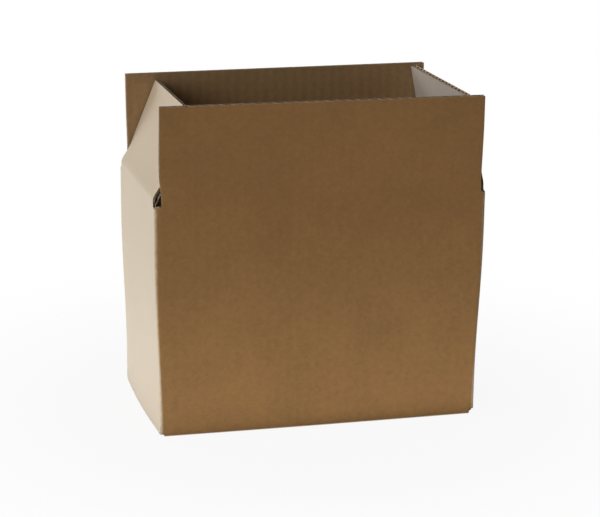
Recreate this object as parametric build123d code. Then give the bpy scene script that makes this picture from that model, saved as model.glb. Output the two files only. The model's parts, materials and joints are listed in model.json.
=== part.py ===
from build123d import *
from math import asin, atan2, cos, floor, hypot, sin, tan
import os

# An open carton of single-wall corrugated board, glued shut below and standing open above.
# X runs along the long panels, -Y is the front, Z is up. The origin is the middle of the underside.
# All lengths are in millimetres, and all leans are in degrees from upright, positive outwards.

# The folded box, outside
box_length = 260.0
box_width = 144.0
end_score_height = 183.0  # height of the crease of the two end flaps

# The board
board = 4.2  # overall thickness
liner = 0.4  # flat paper on each face
medium = 0.4  # wavy paper between the liners
flute_pitch = 8.0
crest_radius = 1.3  # of a flute, to the middle of its paper

# Creases and slots
fold_radius = 3.0  # outside of a corner or a bottom fold
fold_gap = 0.2  # room for the long flaps to close over the end flaps, past the board itself
crease_gap = 0.15  # between the crease line and the bevelled board on each side of it
crush = 3.0  # solid strip beside a crease, where the flutes are pressed flat
slot_clearance = 1.4  # between a closed end flap's side and the long panel beside it
long_inset = 4.4  # from an end panel's outside to the side of a long flap
side_gap = 0.5  # how much wider a panel's crease is than its flap, at each side
slot_relief = 0.6  # how far a corner slot is cut past the crease
meeting_gap = 1.0  # between the two long flaps when they are closed
edge_groove = 1.0  # how far the flutes fall short of a flap's side, between the liners
edge_web = 0.6  # least paper left between that groove and the first flute

# The glued lap that closes the loop of panels, inside the back right corner
lap_width = 32.0
lap_taper = 8.0  # how much each end of the lap slants
lap_clearance = 1.8  # from the folded end flaps above and below
seam_groove = 1.8  # the notch outside, where the folded lap leaves the back panel's cut edge

# How far each flap leans
front_lean_degrees = 4.0
back_lean_degrees = 1.0
left_lean_degrees = -21.5
right_lean_degrees = -10.5

# Sizes that follow from these
long_score_height = end_score_height + board + fold_gap
long_reach = (box_width - meeting_gap) / 2
end_reach = long_reach + board + fold_gap  # every flap ends at the blank's straight cut edge
end_inset = board + slot_clearance  # from a long panel's outside to the side of an end flap
long_width = box_length - 2 * long_inset
end_width = box_width - 2 * end_inset
half_length = box_length / 2
half_width = box_width / 2

# One flute, in the section across the flutes
half_pitch = flute_pitch / 2
wave_height = board - 2 * liner - medium
wave_run = hypot(half_pitch, wave_height - 2 * crest_radius)
flank = atan2(wave_height - 2 * crest_radius, half_pitch) + asin(2 * crest_radius / wave_run)
tunnel_foot = half_pitch - (crest_radius + medium / 2) * tan(flank / 2)
tunnel_crest = crest_radius - medium / 2
tunnel_centre = wave_height - crest_radius + medium / 2


def tunnel_outline():
    """The hollow under one flute: it stands on a liner at y = 0 and its crest points to +Y."""
    shoulder_x = tunnel_crest * sin(flank)
    shoulder_y = tunnel_centre + tunnel_crest * cos(flank)
    floor_line = Line((-tunnel_foot, 0), (tunnel_foot, 0))
    right_flank = Line((tunnel_foot, 0), (shoulder_x, shoulder_y))
    crest = ThreePointArc(
        (shoulder_x, shoulder_y), (0, tunnel_centre + tunnel_crest), (-shoulder_x, shoulder_y)
    )
    left_flank = Line((-shoulder_x, shoulder_y), (-tunnel_foot, 0))
    return make_face([floor_line, right_flank, crest, left_flank])


def flap(width, reach, lean_degrees):
    """A flap that stands on its crease along X, with its outside facing -Y, leant over outwards."""
    bevelled = Polyline(
        (0, crease_gap), (0, reach), (board, reach), (board, board + crease_gap), close=True
    )
    plate = extrude(make_face(Plane.YZ * bevelled), width / 2, both=True)

    flute_start = board + crease_gap + crush
    flute_length = reach - flute_start
    room = width / 2 - edge_groove - edge_web - tunnel_foot
    steps = floor(room / half_pitch)
    cuts = []
    for step in range(-steps, steps + 1):
        on_outer_liner = Pos(step * half_pitch, liner, flute_start)
        on_inner_liner = Pos(step * half_pitch, board - liner, flute_start) * Rot(0, 0, 180)
        place = on_outer_liner if step % 2 == 0 else on_inner_liner
        cuts.append(extrude(place * tunnel_outline(), flute_length))
    for side in (-1, 1):
        middle = Pos(side * (width - edge_groove) / 2, board / 2, flute_start + flute_length / 2)
        cuts.append(middle * Box(edge_groove, board - 2 * liner, flute_length))
    return Rot(lean_degrees, 0, 0) * (plate - cuts)


def bent_panel(half_depth, score, fold_height, reach, span):
    """A wall and its closed bottom flap as one bent board along X, with its outside facing -Y."""
    outside = -half_depth
    inside = board - half_depth
    crease = score - crease_gap
    fold = RadiusArc(
        (outside, fold_height + fold_radius), (outside + fold_radius, fold_height), -fold_radius
    )
    rest = Polyline(
        (outside + fold_radius, fold_height),
        (outside + reach, fold_height),
        (outside + reach, fold_height + board),
        (inside, fold_height + board),
        (inside, crease - board),
        (outside, crease),
        (outside, fold_height + fold_radius),
    )
    section = make_face(Plane.YZ * Curve([fold, rest]))
    return extrude(section, span / 2, both=True)


def corner_folds():
    """The four upright corners between the slots, the back right one with the glued seam."""
    outline = Rectangle(box_length, box_width)
    creased = [corner for corner in outline.vertices() if corner.X < 0 or corner.Y < 0]
    outline = fillet(creased, fold_radius)
    outline -= Rectangle(box_length - 2 * board, box_width - 2 * board)
    outline -= Rectangle(box_length - 2 * end_inset, 2 * box_width)
    outline -= Rectangle(2 * box_length, box_width - 2 * (end_inset - side_gap))
    lowest = board + slot_relief
    highest = end_score_height - slot_relief
    return Pos(0, 0, lowest) * extrude(outline, highest - lowest)


def glue_lap():
    """The lap folded in from the right panel and glued flat inside the back panel."""
    lowest = 2 * board + lap_clearance
    highest = end_score_height - board - lap_clearance
    fold_x = half_length - board
    free_x = fold_x - lap_width
    shape = Polyline(
        (fold_x, lowest),
        (fold_x, highest),
        (free_x, highest - lap_taper),
        (free_x, lowest + lap_taper),
        close=True,
    )
    face = Pos(0, half_width - board, 0) * make_face(Plane.XZ * shape)
    return extrude(face, board)


def seam_notch():
    """The three-cornered groove outside, between the lap's fold and the back panel's edge."""
    seam_y = half_width - board
    shape = Polyline(
        (half_length + seam_groove, seam_y),
        (half_length - seam_groove, seam_y),
        (half_length, seam_y - seam_groove),
        (half_length + seam_groove, seam_y - seam_groove),
        close=True,
    )
    return extrude(make_face(shape), end_score_height)


def box_body():
    """All four walls with the closed bottom, up to the creases of the open flaps."""
    long_span = long_width + 2 * side_gap
    end_span = end_width + 2 * side_gap
    long_panel = bent_panel(half_width, long_score_height, 0, long_reach, long_span)
    end_panel = bent_panel(half_length, end_score_height, board, end_reach, end_span)
    body = corner_folds() + glue_lap()
    body += [Rot(0, 0, turn) * long_panel for turn in (0, 180)]
    body += [Rot(0, 0, turn) * end_panel for turn in (90, 270)]
    return body - seam_notch()


on_front = Pos(0, -half_width, long_score_height)
on_back = Pos(0, half_width, long_score_height) * Rot(0, 0, 180)
on_left = Pos(-half_length, 0, end_score_height) * Rot(0, 0, -90)
on_right = Pos(half_length, 0, end_score_height) * Rot(0, 0, 90)

parts = {
    "box_body": box_body(),
    "front_flap": on_front * flap(long_width, long_reach, front_lean_degrees),
    "back_flap": on_back * flap(long_width, long_reach, back_lean_degrees),
    "left_flap": on_left * flap(end_width, end_reach, left_lean_degrees),
    "right_flap": on_right * flap(end_width, end_reach, right_lean_degrees),
}

os.makedirs("parts", exist_ok=True)
for name, solid in parts.items():
    export_step(solid, f"parts/{name}.step")
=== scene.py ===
import json
from math import atan, cos, pi, radians, sin, tan

import bmesh
import bpy
from mathutils import Matrix, Vector


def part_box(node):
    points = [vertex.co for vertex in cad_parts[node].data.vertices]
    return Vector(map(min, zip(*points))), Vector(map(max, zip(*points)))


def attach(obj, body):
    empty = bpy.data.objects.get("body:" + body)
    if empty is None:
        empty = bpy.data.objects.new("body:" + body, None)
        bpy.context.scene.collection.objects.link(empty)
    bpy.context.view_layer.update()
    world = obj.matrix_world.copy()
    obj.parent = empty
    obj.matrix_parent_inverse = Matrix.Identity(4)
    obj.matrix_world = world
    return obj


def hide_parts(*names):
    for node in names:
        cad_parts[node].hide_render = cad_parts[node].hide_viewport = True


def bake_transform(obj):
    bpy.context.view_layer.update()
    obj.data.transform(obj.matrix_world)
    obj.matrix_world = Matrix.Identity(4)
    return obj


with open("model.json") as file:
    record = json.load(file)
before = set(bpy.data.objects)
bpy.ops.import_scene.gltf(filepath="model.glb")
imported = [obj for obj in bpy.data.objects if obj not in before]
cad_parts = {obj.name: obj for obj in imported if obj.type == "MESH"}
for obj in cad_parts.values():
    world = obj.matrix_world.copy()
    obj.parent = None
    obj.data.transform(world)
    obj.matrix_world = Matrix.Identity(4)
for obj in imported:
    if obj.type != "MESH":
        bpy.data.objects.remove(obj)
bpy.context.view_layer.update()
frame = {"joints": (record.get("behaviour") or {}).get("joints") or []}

# An open carton of corrugated board, in metres. X runs along the long panels, -Y is the front and
# Z is up. Every board is three papers: a liner on each face and a wavy medium between them.

tiny = 1e-5  # two places nearer than this are the same

creases = {joint["name"]: Vector(joint["pos_m"]) for joint in frame["joints"]}
half_length = -creases["left_flap_crease"].x
half_width = -creases["front_flap_crease"].y
end_score = creases["left_flap_crease"].z

# The board
board = 0.0042
paper = 0.0004
flute_pitch = 0.008
crest_radius = 0.0013
wave_height = board - 3 * paper  # from the middle of the paper at one crest to the other
edge_groove = 0.0003  # how far the medium falls short of a side edge
edge_reach = 0.0045  # how much of a board beside its cut edge moves with that edge

# Folds, slots and flaps
fold_radius = 0.003  # outside, of a bottom fold
corner_radius = 0.0018  # outside, of an upright corner
inner_corner_radius = 0.0008
pressed_corner_radius = 0.0004  # of the pressed board between the liners
slot_relief = 0.0006  # how far a corner slot is cut past the crease
strip = 0.005  # wall below a crease that belongs to the flap's piece
groove_half_width = 0.0042  # of the pressed score inside a crease
groove_depth = 0.0022
crushed_flutes = 0.5  # what a crease leaves of its flutes' depth
half_crushed_flutes = 0.8  # and in the first row of points above it
side_gap = 0.0005  # how much wider a panel's crease is than its flap, at each side
long_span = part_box("front_flap")[1].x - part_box("front_flap")[0].x
end_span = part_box("left_flap")[1].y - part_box("left_flap")[0].y
long_reach = 0.0715
end_reach = 0.0759
trim = 0.0001  # keeps a flap's free edge just inside its solid

# How far each flap leans in, as (height above its crease, degrees from there on)
front_bends = [(0.0010, -1.5), (0.0042, -1.5), (0.0120, -1.0)]
back_bends = [(0.0010, -0.5), (0.0042, -0.5)]
left_bends = [(0.0042, 12.0), (0.0060, 12.0), (0.0085, 9.0), (0.0160, -6.0), (0.0210, -5.0)]
right_bends = [(0.0032, 6.0), (0.0060, 6.5), (0.0210, -2.0)]

# How far each flap's sides are cut out of true, as (height above the crease, distance outwards)
front_sides = (
    ((-0.006, -0.0016), (0.005, -0.0014), (0.013, -0.0002), (0.024, 0.0005)),
    ((0.0, 0.0), (0.013, 0.0002), (0.044, 0.0002), (0.072, -0.0005)),
)
back_sides = (
    ((0.0, -0.0010), (0.013, -0.0011), (0.072, -0.0012)),
    ((0.0, -0.0012), (0.013, -0.0016), (0.042, -0.0009), (0.072, -0.0006)),
)
square_sides = (((0.0, 0.0),), ((0.0, 0.0),))

# Bottom
meeting_gap = 0.001
end_flap_edge = 0.0541  # from the middle to the free edges of the folded end flaps
# The sagging fold under an end wall, as (distance from the middle, height) of its outer paper
end_fold = [
    (0.1297, 0.0032), (0.1291, 0.0021), (0.1281, 0.0014), (0.1270, 0.0016), (0.1262, 0.0027),
    (0.1259, 0.0040), (0.1252, board + paper / 2),
]
lining_inset = 0.0009  # from a long wall's end to the inner paper of its bottom flap
lining_turn = 0.0006  # how far an end wall's inner paper turns in before it narrows
floor_division = 0.035  # where the medium of a bottom flap has a row of points

# Where the medium begins beside a bottom fold that has crushed it
long_wall_foot = 0.006
end_wall_foot = 0.009
long_floor_start = 0.005
end_floor_start = 0.007

# Seam and lap
seam_groove = 0.0018
seam_turn = [(-0.0005, 0.0009, 0), (-0.0011, 0.0006, 0)]  # of the right wall's edge, inwards
lap_width = 0.032
lap_taper = 0.008
lap_low = 0.0102
lap_high = 0.177

# Upright corners
crush_recess = 0.0003  # of the crushed flutes below the liners' cut edges
corner_drop = 0.0024  # of the front left corner, whose slot below is cut less deep
pressed_drop = 0.0009  # of the tops of the two front corners, outside
pressed_height = 0.0010  # how much of such a top moves, from above
pressed_depth = 0.0025  # and from the front
pressed_margin = 0.0002  # and how far past the wall's end it starts

# What the lattice does to the box, one number for each of its layers from the floor up
lattice_height = 0.184
end_narrowing = [0.0034, 0.0034, 0.0032, 0.0025, 0.0015, 0.0006, 0, 0, 0]
side_share = 0.35  # of that narrowing, for the front and the back
end_bow = [0.0022, 0.0016, 0.0010, 0.0006, 0.0004, 0.0002, 0, 0, 0]  # outwards, of the end walls
wall_dish = [0, -0.0003, -0.0006, -0.0008, -0.0007, -0.0004, 0, 0, 0]  # outwards, of the long walls
corner_lift = [0.0016, 0.0010, 0.0005, 0.0002, 0, 0, 0, 0, 0]  # of the front left corner

# Colours of the liners' details
speck_brown = (0.16, 0.085, 0.035, 1)
fibre_tan = (0.62, 0.43, 0.24, 1)
# paler colour of the upright corners: partly rubbed wear, partly a painted highlight
wear_and_highlight_tan = (0.74, 0.62, 0.46, 1)
wear_and_highlight_start = 0.0030  # from a corner's outside to where its rubbing and painted highlight begin
wear_and_highlight_full = 0.0010  # and to where it is full


class Socket:
    """A node's output or a number, with the operators that shader maths needs."""

    def __init__(self, nodes, value):
        self.nodes = nodes
        self.value = value

    def math(self, operation, *others, clamp=False):
        return self.nodes.add("Math", (self, *others), operation=operation, use_clamp=clamp)

    def __add__(self, other):
        return self.math("ADD", other)

    def __sub__(self, other):
        return self.math("SUBTRACT", other)

    def __mul__(self, other):
        return self.math("MULTIPLY", other)

    def __rsub__(self, other):
        return Socket(self.nodes, other).math("SUBTRACT", self)

    __radd__ = __add__
    __rmul__ = __mul__

    def clamped(self):
        return self.math("ADD", 0.0, clamp=True)

    def ramp(self, low, high):
        """0 at low and 1 at high, with a smooth step between them."""
        inputs = {"Value": self, "From Min": low, "From Max": high}
        return self.nodes.add("MapRange", inputs, interpolation_type="SMOOTHSTEP")


class Nodes:
    """One material's or the world's node tree."""

    def __init__(self, owner):
        owner.use_nodes = True
        self.tree = owner.node_tree
        self.tree.nodes.clear()

    def add(self, kind, inputs=(), out=0, **settings):
        """Any node: its settings are set first, then the values or links of its sockets."""
        node = self.tree.nodes.new("ShaderNode" + kind)
        for name, value in settings.items():
            setattr(node, name, value)
        pairs = inputs.items() if isinstance(inputs, dict) else enumerate(inputs)
        for key, value in pairs:
            self.put(node.inputs[key], value)
        return Socket(self, node.outputs[out]) if len(node.outputs) else node

    def put(self, socket, value):
        if isinstance(value, Socket):
            value = value.value
        if isinstance(value, bpy.types.NodeSocket):
            self.tree.links.new(value, socket)
        else:
            socket.default_value = value

    def mix(self, factor, first, second):
        """Two colours mixed."""
        inputs = {"Factor": factor, 6: first, 7: second}
        return self.add("Mix", inputs, out=2, data_type="RGBA")

    def axes(self, vector):
        """The X, Y and Z of a vector."""
        split = self.add("SeparateXYZ", (vector,))
        return [Socket(self, output) for output in split.value.node.outputs]

    def place(self, scale, turn):
        """Object coordinates, stretched and turned."""
        coordinates = self.add("TexCoord", out="Object")
        inputs = {"Vector": coordinates, "Scale": scale, "Rotation": turn}
        return self.add("Mapping", inputs)

    def noise(self, scale, detail, roughness, stretch=(1, 1, 1), turn=(0, 0, 0)):
        inputs = {"Scale": scale, "Detail": detail, "Roughness": roughness}
        inputs["Vector"] = self.place(stretch, turn)
        return self.add("TexNoise", inputs)


def grey(value):
    return (value, value, value, 1.0)


def kraft_liner(name, base, pale, painted_rib_shade):
    """The smooth brown face paper: fibres, specks, clouds, and the flutes showing as faint ribs, in
    bump and as painted shade.

    pale is the colour of the gloss that its calendered face takes on at low angles.
    """
    material = bpy.data.materials.new(name)
    n = Nodes(material)
    x, y, z = n.axes(n.add("TexCoord", out="Object"))
    facing_x = n.axes(n.add("TexCoord", out="Normal"))[0].math("ABSOLUTE")

    clouds = n.noise(22.0, 3.0, 0.55)
    mottle = n.noise(260.0, 3.0, 0.6)
    along_x = n.noise(420.0, 2.0, 0.6, (1.0, 1.0, 9.0))
    slanted = n.noise(380.0, 2.0, 0.6, (1.4, 1.4, 8.0), (0.35, 0.3, 0.0))
    fibres = along_x * 0.6 + slanted * 0.4
    specks = n.noise(900.0, 1.0, 0.5, (1.0, 1.0, 2.2)).ramp(0.70, 0.78)
    pale_fibres = n.noise(700.0, 1.0, 0.5, (0.5, 0.5, 4.5), (0.2, -0.4, 0.1)).ramp(0.68, 0.76)

    across = x * (1.0 - facing_x) + y * facing_x
    flutes = (across * (2 * pi / flute_pitch)).math("SINE")

    tone = (clouds - 0.5) * 0.36 + (mottle - 0.5) * 0.45 + (fibres - 0.5) * 0.55
    # painted shade: the washboard ribs over the flutes lighten and darken the colour, besides their
    # bump below
    tone = tone + flutes * painted_rib_shade + 1.0
    colour = n.add("VectorMath", {0: base, "Scale": tone}, operation="SCALE")
    colour = n.mix(specks * 0.45, colour, speck_brown)
    colour = n.mix(pale_fibres * 0.30, colour, fibre_tan)

    # Rubbed folds and a painted highlight: paler along the upright corners, which lean in a little
    # towards the bottom
    inset = (1 - z.ramp(0.0, 0.115)) * end_narrowing[0]
    across_x = x.math("ABSOLUTE") + inset
    across_y = y.math("ABSOLUTE") + inset * side_share
    corner_x = across_x.ramp(half_length - wear_and_highlight_start, half_length - wear_and_highlight_full)
    corner_y = across_y.ramp(half_width - wear_and_highlight_start, half_width - wear_and_highlight_full)
    # painted highlight: the paler band is stronger low down, where the corner's highlight is
    # painted in
    wear_and_highlight = corner_x * corner_y * (0.50 + (1 - z.ramp(0.05, 0.15)) * 0.25 + (mottle - 0.5) * 0.8)
    colour = n.mix(wear_and_highlight.clamped(), colour, wear_and_highlight_tan)

    roughness = 0.62 + (mottle - 0.5) * 0.25 + (fibres - 0.5) * 0.2
    height = fibres * 0.5 + mottle * 0.35 + flutes * 0.10 + specks * 0.2
    bump = n.add("Bump", {"Height": height, "Strength": 0.18, "Distance": 0.0006})
    shader = {
        "Base Color": colour,
        "Roughness": roughness,
        "Normal": bump,
        "IOR": 1.5,
        "Specular IOR Level": 0.35,
        "Sheen Weight": 0.4,
        "Sheen Roughness": 0.46,
        "Sheen Tint": (1.0, 0.97, 0.90, 1.0),
    }
    surface = n.add("BsdfPrincipled", shader)
    # Calendered paper turns glossy when it is seen along its face
    glazed = n.add("BsdfPrincipled", {"Base Color": pale, "Metallic": 1.0, "Roughness": 0.7})
    low_angle = n.add("LayerWeight", {"Blend": 0.5}, out="Facing").ramp(0.25, 0.95) * 0.62
    n.add("OutputMaterial", {"Surface": n.add("MixShader", (low_angle, surface, glazed))})
    return material


def plain_paper(name, base, roughness):
    """Unfinished paper: the medium, or the fuzzy cut edges."""
    material = bpy.data.materials.new(name)
    n = Nodes(material)
    mottle = n.noise(500.0, 3.0, 0.6)
    fibres = n.noise(1400.0, 2.0, 0.6)
    tone = 1.0 + (mottle - 0.5) * 0.5 + (fibres - 0.5) * 0.4
    colour = n.add("VectorMath", {0: base, "Scale": tone}, operation="SCALE")
    bump = n.add("Bump", {"Height": fibres, "Strength": 0.35, "Distance": 0.0004})
    shader = {"Base Color": colour, "Roughness": roughness, "Normal": bump}
    n.add("OutputMaterial", {"Surface": n.add("BsdfPrincipled", shader)})
    return material


outer_paper = kraft_liner(
    "outer_liner_paper", base=(0.415, 0.212, 0.066), pale=(0.73, 0.715, 0.62, 1), painted_rib_shade=0.012
)
# The inner paper's cool gloss tint is painted light: it stands in for the cooler, bluish light that
# falls inside the box.
inner_paper = kraft_liner(
    "inner_liner_paper", base=(0.390, 0.242, 0.112), pale=(0.72, 0.79, 0.84, 1), painted_rib_shade=0.045
)
cut_paper = plain_paper("cut_edge_paper", base=(0.60, 0.47, 0.34), roughness=0.9)
medium_paper = plain_paper("medium_paper", base=(0.42, 0.29, 0.18), roughness=0.85)

# Every piece's material slots: each paper is followed by the cut paper that its rim shows
PAPERS = (outer_paper, cut_paper, inner_paper, cut_paper, medium_paper, cut_paper)
OUTER, INNER, MEDIUM = 0, 2, 4


# Modelling helpers

def alone(piece):
    """Selects this piece and nothing else."""
    bpy.ops.object.select_all(action="DESELECT")
    piece.select_set(True)
    bpy.context.view_layer.objects.active = piece


def start_mesh(piece):
    alone(piece)
    bpy.ops.object.mode_set(mode="EDIT")


def end_mesh():
    bpy.ops.object.mode_set(mode="OBJECT")


def near(a, b):
    return abs(a - b) < tiny


def pick(piece, kind, test):
    """Selects the verts, edges or faces whose points pass the test, and nothing else."""
    bpy.ops.mesh.select_mode(type=kind[:-1].upper())
    bpy.ops.mesh.select_all(action="DESELECT")
    mesh = bmesh.from_edit_mesh(piece.data)
    for part in getattr(mesh, kind):
        points = [part.co] if kind == "verts" else [v.co for v in part.verts]
        if test(*points):
            part.select_set(True)
    bmesh.update_edit_mesh(piece.data)


def every(test):
    """Makes a test that all the points of an edge or face have to pass."""
    return lambda *points: all(test(p) for p in points)


def cut(point, normal, clear_outer=False):
    """Cuts the mesh being edited by a plane, and may clear what lies beyond it."""
    bpy.ops.mesh.select_mode(type="FACE")
    bpy.ops.mesh.select_all(action="SELECT")
    bpy.ops.mesh.bisect(plane_co=point, plane_no=normal, clear_outer=clear_outer)


def pull(*moves):
    """Extrudes what is selected, move by move."""
    for move in moves:
        bpy.ops.mesh.extrude_region_move(TRANSFORM_OT_translate={"value": move})


def modify(piece, kind, **settings):
    alone(piece)
    bpy.ops.object.modifier_add(type=kind)
    modifier = piece.modifiers[-1]
    for name, value in settings.items():
        setattr(modifier, name, value)
    bpy.ops.object.modifier_apply(modifier=modifier.name)


def use_paper(piece, index):
    """The piece's faces take one paper, and every piece lists the papers in the same order."""
    piece.data.materials.clear()
    for material in PAPERS:
        piece.data.materials.append(material)
    piece.data.polygons.foreach_set("material_index", [index] * len(piece.data.polygons))


def put(piece, at, turn=0.0, tilt=0.0):
    """Tilts a board about X, turns it about Z and moves it to its place."""
    alone(piece)
    piece.rotation_euler = (tilt, 0, turn)
    piece.location = at
    bpy.ops.object.transform_apply(location=True, rotation=True, scale=True)
    return piece


def join(name, pieces):
    alone(pieces[0])
    for piece in pieces:
        piece.select_set(True)
    bpy.ops.object.join()
    pieces[0].name = name
    pieces[0].data.name = name
    return pieces[0]


def thicken(piece, thickness=paper, even=False):
    """The paper gets its thickness, and its rim shows the cut paper."""
    modify(
        piece, "SOLIDIFY", thickness=thickness, offset=0.0, use_even_offset=even,
        material_offset_rim=1,
    )
    alone(piece)
    bpy.ops.object.shade_smooth_by_angle(angle=radians(40))
    return piece


# Papers of one flat board, upright, with its outside facing -Y at Y = 0

def flat_paper(name, width, rows, columns, depth, face=OUTER):
    """An upright sheet at this depth in the board, with a row of points at each height."""
    bpy.ops.object.select_all(action="DESELECT")
    bpy.ops.mesh.primitive_grid_add(x_subdivisions=columns, y_subdivisions=1, size=1)
    piece = bpy.context.object
    piece.name = name
    piece.scale = (width, rows[-1] - rows[0], 1)
    put(piece, (0, depth, (rows[0] + rows[-1]) / 2), tilt=pi / 2)
    start_mesh(piece)
    for row in rows[1:-1]:
        cut((0, 0, row), (0, 0, 1))
    end_mesh()
    use_paper(piece, face)
    return piece


def wavy_paper(name, width, rows):
    """The medium: a sheet pleated from liner to liner, with its crests rounded by a bevel."""
    steps = 2 * round(width / flute_pitch)
    half_step = width / steps
    # Rounding lowers the crests, so the pleats rise until the rounded ones are wave_height apart
    rise = wave_height / 2
    for _ in range(20):
        slope = atan(2 * rise / half_step)
        rise = wave_height / 2 + crest_radius * (1 / cos(slope) - 1)
    piece = flat_paper(name, width, rows, steps, board / 2)
    start_mesh(piece)
    for side in (0, 1):
        pick(piece, "verts", lambda p: round((p.x + width / 2) / half_step) % 2 == side)
        bpy.ops.transform.translate(value=(0, rise * (2 * side - 1), 0))
    pick(piece, "edges", lambda a, b: near(a.x, b.x) and abs(a.x) < width / 2 - tiny)
    bpy.ops.mesh.bevel(offset=crest_radius * tan(slope), segments=3, affect="EDGES")
    # Both side edges end on a crest, which no bevel has rounded
    pick(piece, "verts", lambda p: near(abs(p.x), width / 2))
    bpy.ops.transform.translate(value=(0, rise - wave_height / 2, 0))
    end_mesh()
    use_paper(piece, MEDIUM)
    return piece


def between(profile, height):
    """The distance that a profile of (height, distance) gives at this height."""
    for (low, start), (high, end) in zip(profile, profile[1:]):
        if height <= high:
            return start + (end - start) * (height - low) / (high - low)
    return profile[-1][1]


def flap(name, width, reach, bends, sides, slope):
    """A flap standing on its crease at Z = 0, with a strip of the wall below it.

    bends lists (height, degrees): from each height on, the flap leans that much more inwards.
    sides says how its two cut sides leave the straight line, and below the first height that it
    gives they are as wide as the crease. slope is how far the free edge drops towards +X.
    """
    groove = [groove_half_width * step / 4 for step in range(-4, 5)]
    curved = [0.0060, 0.0085, 0.0120, 0.0160, 0.0210]
    straight = reach - trim - curved[-1]
    rows = [-strip, *groove, *curved]
    rows += [curved[-1] + straight * step / 6 for step in range(1, 7)]
    columns = 32
    outer = flat_paper(name, width, rows, columns, paper / 2)
    inner = flat_paper(name + "_inner", width, rows, columns, board - paper / 2, INNER)
    wave = wavy_paper(name + "_medium", width - 2 * edge_groove, rows)
    # The flutes are crushed along the crease
    start_mesh(wave)
    middle = (0, board / 2, 0)
    pick(wave, "verts", lambda p: groove[0] - tiny < p.z < curved[0] + tiny)
    bpy.ops.transform.resize(value=(1, crushed_flutes, 1), center_override=middle)
    pick(wave, "verts", lambda p: near(p.z, curved[1]))
    bpy.ops.transform.resize(value=(1, half_crushed_flutes, 1), center_override=middle)
    end_mesh()
    piece = join(name, [outer, inner, wave])

    start_mesh(piece)
    for row in groove[1:-1]:
        kept = 1 - groove_depth * (1 - abs(row) / groove_half_width) / board
        pick(piece, "verts", lambda p: near(p.z, row) and p.y > paper)
        bpy.ops.transform.resize(value=(1, kept, 1), center_override=(0, 0, row))
    for side, profile in zip((-1, 1), sides):
        for row in rows:
            move = between(profile, row) if row > profile[0][0] + tiny else side_gap
            pick(piece, "verts", lambda p: (
                side * p.x > width / 2 - edge_reach and near(p.z, row)
            ))
            bpy.ops.transform.translate(value=(side * move, 0, 0))
    pick(piece, "verts", lambda p: near(p.z, rows[-1]))
    bpy.ops.transform.rotate(
        value=-slope / width, orient_axis="Y", center_override=(-width / 2, 0, rows[-1])
    )
    for height, degrees in reversed(bends):
        pick(piece, "verts", lambda p: p.z > height - tiny)
        bpy.ops.transform.rotate(
            value=radians(degrees), orient_axis="X", center_override=(0, paper / 2, height)
        )
    end_mesh()
    return thicken(piece)


# The box itself: walls, upright corners and the closed bottom

# Where the walls' meshes are divided
wall_rows = [step * 0.0115 for step in range(1, 16)]
long_columns = [step * 0.0315 for step in range(-3, 4)]
end_columns = [step * 0.0223 for step in range(-2, 3)]

post_low = board + slot_relief
post_high = end_score - slot_relief
end_wall_top = end_score - strip
long_edge = long_span / 2 + side_gap  # where a wall's crease ends and the corner begins
end_edge = end_span / 2 + side_gap


def sleeve(name, x, y, low, high, corner, segments, face):
    """Four upright walls of one paper, with rounded corners but for the back right one."""
    bpy.ops.object.select_all(action="DESELECT")
    bpy.ops.mesh.primitive_cube_add(size=2)
    piece = bpy.context.object
    piece.name = name
    piece.scale = (x, y, (high - low) / 2)
    put(piece, (0, 0, (high + low) / 2))
    start_mesh(piece)
    pick(piece, "faces", lambda *points: all(near(p.z, points[0].z) for p in points))
    bpy.ops.mesh.delete(type="ONLY_FACE")
    pick(piece, "edges", lambda a, b: near(a.x, b.x) and near(a.y, b.y) and (a.x < 0 or a.y < 0))
    bpy.ops.mesh.bevel(offset=corner, segments=segments, affect="EDGES")
    for row in wall_rows:
        if low < row < high:
            cut((0, 0, row), (0, 0, 1))
    cut((0, 0, end_wall_top), (0, 0, 1))
    for place in [-long_edge, *long_columns, long_edge]:
        cut((place, 0, 0), (1, 0, 0))
    for place in [-end_edge, *end_columns, end_edge]:
        cut((0, place, 0), (0, 1, 0))
    pick(piece, "faces", every(
        lambda p: near(abs(p.x), x) and abs(p.y) < end_edge + tiny and p.z > end_wall_top - tiny
    ))
    bpy.ops.mesh.delete(type="FACE")
    end_mesh()
    use_paper(piece, face)
    return piece


def drop_corner(piece, low):
    """The front left corner reaches further down than the other three."""
    pick(piece, "edges", every(
        lambda p: near(p.z, low) and p.x < tiny - long_edge and p.y < tiny - end_edge
    ))
    pull((0, 0, -corner_drop))


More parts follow.
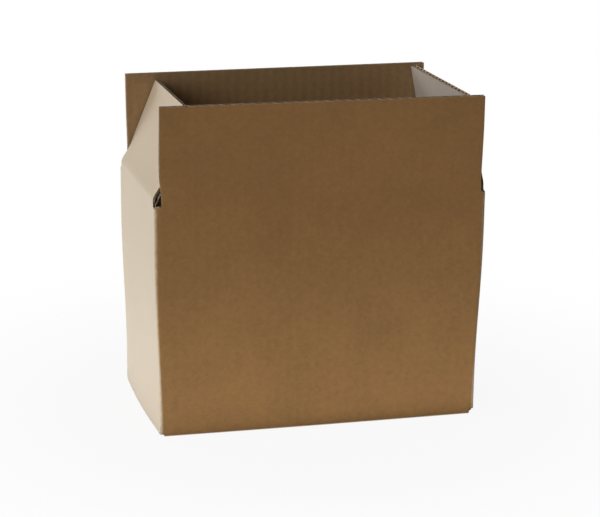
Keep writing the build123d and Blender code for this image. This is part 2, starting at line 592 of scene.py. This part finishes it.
def outer_liner():
    x = half_length - paper / 2
    y = half_width - paper / 2
    radius = corner_radius - paper / 2
    piece = sleeve("box_outer_liner", x, y, post_low, post_high, radius, 4, OUTER)
    start_mesh(piece)
    drop_corner(piece, post_low)
    # The seam: the right wall turns in beside the back panel's cut edge
    seam_y = half_width - board - seam_groove
    cut((0, seam_y, 0), (0, 1, 0))
    pick(piece, "faces", every(lambda p: near(p.x, x) and p.y > seam_y - tiny))
    bpy.ops.mesh.delete(type="FACE")
    pick(piece, "edges", every(lambda p: near(p.x, x) and near(p.y, seam_y)))
    pull(*seam_turn)
    # Bottom flaps of the long walls, folded under last
    for side in (-1, 1):
        pick(piece, "edges", every(
            lambda p: near(p.z, post_low) and near(p.y, side * y) and abs(p.x) < long_edge + tiny
        ))
        pull((0, 0, fold_radius - post_low))
        bpy.ops.mesh.spin(
            steps=4, angle=side * pi / 2, axis=(1, 0, 0),
            center=(0, side * (half_width - fold_radius), fold_radius),
        )
        bpy.ops.transform.resize(value=(long_span / 2 / long_edge, 1, 1), center_override=(0, 0, 0))
        pull((0, -side * (half_width - fold_radius - meeting_gap / 2), 0))
    # Bottom flaps of the end walls, folded in first, so their fold hangs a little below them
    for side in (-1, 1):
        pick(piece, "edges", every(
            lambda p: near(p.z, post_low) and near(p.x, side * x) and abs(p.y) < end_edge + tiny
        ))
        place = (x, post_low)
        for spot in end_fold:
            pull((side * (spot[0] - place[0]), 0, spot[1] - place[1]))
            place = spot
        bpy.ops.transform.resize(value=(1, end_span / 2 / end_edge, 1), center_override=(0, 0, 0))
        pull((side * (end_flap_edge - place[0]), 0, 0))
    end_mesh()
    return piece


def inner_liner():
    x = half_length - board + paper / 2
    y = half_width - board + paper / 2
    low = 2 * board - paper / 2
    piece = sleeve("box_inner_liner", x, y, low, post_high, inner_corner_radius, 2, INNER)
    start_mesh(piece)
    for side in (-1, 1):
        pick(piece, "edges", every(
            lambda p: near(p.z, low) and near(p.y, side * y) and abs(p.x) < long_edge - lining_inset
        ))
        pull((0, 0, -board), (0, -side * (y - meeting_gap / 2), 0))
        pick(piece, "edges", every(
            lambda p: near(p.z, low) and near(p.x, side * x) and abs(p.y) < end_edge + tiny
        ))
        pull((-side * lining_turn, 0, 0))
        bpy.ops.transform.resize(value=(1, end_span / 2 / end_edge, 1), center_override=(0, 0, 0))
        pull((side * (end_flap_edge - x + lining_turn), 0, 0))
    end_mesh()
    return piece


def box_medium():
    """The wavy paper inside the four walls and the four bottom flaps."""
    sheets = []
    for turn in (0, pi):
        side = -cos(turn)
        wall = wavy_paper("medium", 2 * long_edge, [long_wall_foot, *wall_rows, post_high])
        sheets.append(put(wall, (0, side * half_width, 0), turn))
        rows = [-(half_width - meeting_gap / 2), -floor_division, -long_floor_start]
        floor = wavy_paper("medium", long_span - 2 * edge_groove, rows)
        sheets.append(put(floor, (0, side * half_width, 0), turn, pi / 2))
    for turn in (-pi / 2, pi / 2):
        side = sin(turn)
        wall = wavy_paper("medium", 2 * end_edge, [end_wall_foot, *wall_rows[1:], end_wall_top])
        sheets.append(put(wall, (side * half_length, 0, 0), turn))
        rows = [-(half_length - end_flap_edge), -floor_division, -end_floor_start]
        floor = wavy_paper("medium", end_span - 2 * edge_groove, rows)
        sheets.append(put(floor, (side * half_length, 0, board), turn, pi / 2))
    return join("box_medium", sheets)


def pressed_corners():
    """The board in the upright corners, where the creases have crushed the flutes flat."""
    x = half_length - board / 2
    y = half_width - board / 2
    low, high = post_low + crush_recess, post_high - crush_recess
    piece = sleeve("pressed_corners", x, y, low, high, pressed_corner_radius, 2, MEDIUM)
    start_mesh(piece)
    pick(piece, "faces", every(lambda p: near(abs(p.y), y) and abs(p.x) < long_edge + tiny))
    bpy.ops.mesh.delete(type="FACE")
    pick(piece, "faces", every(lambda p: near(abs(p.x), x) and abs(p.y) < end_edge + tiny))
    bpy.ops.mesh.delete(type="FACE")
    drop_corner(piece, low)
    end_mesh()
    return piece


def glue_lap():
    """The lap folded in from the right wall and glued inside the back one, its ends slanted."""
    rows = [lap_low, *wall_rows[1:], lap_high]
    papers = [
        flat_paper("lap_outer", lap_width, rows, 2, paper / 2),
        flat_paper("lap_inner", lap_width, rows, 2, board - paper / 2, INNER),
        wavy_paper("lap_medium", lap_width - edge_groove, rows),
    ]
    piece = join("glue_lap", papers)
    start_mesh(piece)
    for end, height in ((1, rows[-1]), (-1, rows[0])):
        cut((-lap_width / 2, 0, height), (lap_taper, 0, end * lap_width), clear_outer=True)
    end_mesh()
    return put(piece, (half_length - board - lap_width / 2, half_width - board, 0), pi)


def soften():
    """A lattice that narrows the box a little towards its bottom and bows its walls."""
    bpy.ops.object.select_all(action="DESELECT")
    bpy.ops.object.add(type="LATTICE", location=(0, 0, lattice_height / 2))
    cage = bpy.context.object
    cage.scale = (2 * half_length, 2 * half_width, lattice_height)
    columns, rows, layers = 5, 7, len(end_narrowing)
    cage.data.points_u, cage.data.points_v, cage.data.points_w = columns, rows, layers
    cage.data.interpolation_type_u = "KEY_LINEAR"
    for index, point in enumerate(cage.data.points):
        column, row, layer = index % columns, index // columns % rows, index // (columns * rows)
        x, y = 2 * column / (columns - 1) - 1, 2 * row / (rows - 1) - 1
        narrowing = end_narrowing[layer]
        bow = end_bow[layer] * (1 - y * y) * x * abs(x)
        dish = wall_dish[layer] * (1 - x * x) * y
        point.co_deform.x += (bow - narrowing * x) / cage.scale.x
        point.co_deform.y += (dish - side_share * narrowing * y) / cage.scale.y
        point.co_deform.z += corner_lift[layer] * ((1 - x) * (1 - y) / 4) ** 2 / cage.scale.z
    return cage


corners = pressed_corners()
box_papers = [outer_liner(), inner_liner(), box_medium(), glue_lap(), corners]
cage = soften()
for piece in box_papers:
    modify(piece, "LATTICE", object=cage)
    if piece == corners:
        thicken(piece, board - 2.5 * paper, even=True)  # it stays clear of the liners
    else:
        thicken(piece)
    # The slots' knives have pressed the tops of the front corners down a little outside
    start_mesh(piece)
    pick(piece, "verts", lambda p: (
        p.z > post_high - pressed_height
        and p.y < pressed_depth - half_width
        and abs(p.x) > long_edge + pressed_margin
    ))
    bpy.ops.transform.translate(value=(0, 0, -pressed_drop))
    end_mesh()
    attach(piece, "carton")
    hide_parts("box_body")
alone(cage)
bpy.ops.object.delete()

# Each flap's width, reach, bends, sides, slope and turn about Z
flaps = {
    "front": (long_span, long_reach, front_bends, front_sides, 0.0008, 0.0),
    "back": (long_span, long_reach, back_bends, back_sides, 0.0010, pi),
    "left": (end_span, end_reach, left_bends, square_sides, 0.0, -pi / 2),
    "right": (end_span, end_reach, right_bends, square_sides, 0.0, pi / 2),
}
for side, (width, reach, bends, sides, slope, turn) in flaps.items():
    crease = creases[side + "_flap_crease"]
    piece = flap(side + "_flap_board", width, reach, bends, sides, slope)
    put(piece, crease, turn)
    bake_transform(piece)
    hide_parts(side + "_flap")


# The camera

camera_place = (-0.4007, -1.4855, 0.5398)
yaw, pitch, roll = radians(15.151), radians(15.369), radians(0.655)
forward = Vector((sin(yaw) * cos(pitch), cos(yaw) * cos(pitch), -sin(pitch)))
level = Vector((cos(yaw), -sin(yaw), 0))
right = level * cos(roll) + level.cross(forward) * sin(roll)
up = right.cross(forward)
camera_data = bpy.data.cameras.new("camera")
camera = bpy.data.objects.new("camera", camera_data)
bpy.context.scene.collection.objects.link(camera)
turned = Matrix((right, up, -forward)).transposed().to_4x4()
camera.matrix_world = Matrix.Translation(camera_place) @ turned
camera_data.sensor_width = 36
camera_data.lens = 120.06
camera_data.clip_start = 0.05
camera_data.clip_end = 50
bpy.context.scene.camera = camera


# Floor, light and backdrop

bpy.ops.object.select_all(action="DESELECT")
bpy.ops.mesh.primitive_circle_add(vertices=64, radius=12, fill_type="NGON")
floor = bpy.context.object
floor.name = "floor"
floor_finish = bpy.data.materials.new("white_floor")
floor.data.materials.append(floor_finish)
n = Nodes(floor_finish)
matte = n.add("BsdfDiffuse", {"Color": grey(0.45)})
white = n.add("Emission", {"Color": grey(1.0), "Strength": 1.0})
seen = (n.add("LightPath", out="Is Camera Ray") + n.add("LightPath", out="Is Glossy Ray")).clamped()
distance = n.add("VectorMath", (n.add("TexCoord", out="Object"),), out=1, operation="LENGTH")
paleness = distance.ramp(0.12, 0.45) * 0.07 + 0.93
n.add("OutputMaterial", {"Surface": n.add("MixShader", (seen * paleness, matte, white))})

world = bpy.data.worlds.new("studio")
bpy.context.scene.world = world
n = Nodes(world)
direction = n.add("TexCoord", out="Generated")
window = n.add("VectorMath", (direction, (-0.94, -0.28, 0.17)), out=1, operation="DOT_PRODUCT")
behind = n.add("VectorMath", (direction, (0.50, 0.80, 0.30)), out=1, operation="DOT_PRODUCT")
room = window.ramp(0.70, 1.0) * 3.29 + behind.ramp(0.1, 1.0) * 0.18
seen = n.add("LightPath", out="Is Camera Ray")
strength = seen + (1 - seen) * room
n.add("OutputWorld", {"Surface": n.add("Background", {"Color": grey(1.0), "Strength": strength})})


def lamp(name, place, target, size, watts, shines=True):
    bpy.ops.object.select_all(action="DESELECT")
    bpy.ops.object.light_add(type="AREA", location=place)
    light = bpy.context.object
    light.name = name
    light.rotation_euler = (Vector(target) - Vector(place)).to_track_quat("-Z", "Y").to_euler()
    light.data.shape = "RECTANGLE"
    light.data.size, light.data.size_y = size
    light.data.energy = watts
    light.visible_camera = False
    light.visible_glossy = shines


lamp("far_window", place=(-1.25, 2.0, 1.3), target=(0, 0, 0.15), size=(1.6, 1.2), watts=17)
lamp("overhead", place=(0, 0.1, 1.5), target=(0, 0.1, 0), size=(1.4, 1.0), watts=1.4)
# What the bright floor beside the box throws back up
lamp(
    "front_floor", place=(0, -0.15, 0.0003), target=(0, -0.15, 1.0), size=(0.60, 0.14),
    watts=0.195, shines=False,
)
lamp(
    "left_floor", place=(-0.24, 0, 0.0003), target=(-0.24, 0, 1.0), size=(0.20, 0.40),
    watts=0.12,
)

bpy.context.scene.view_settings.view_transform = "Standard"
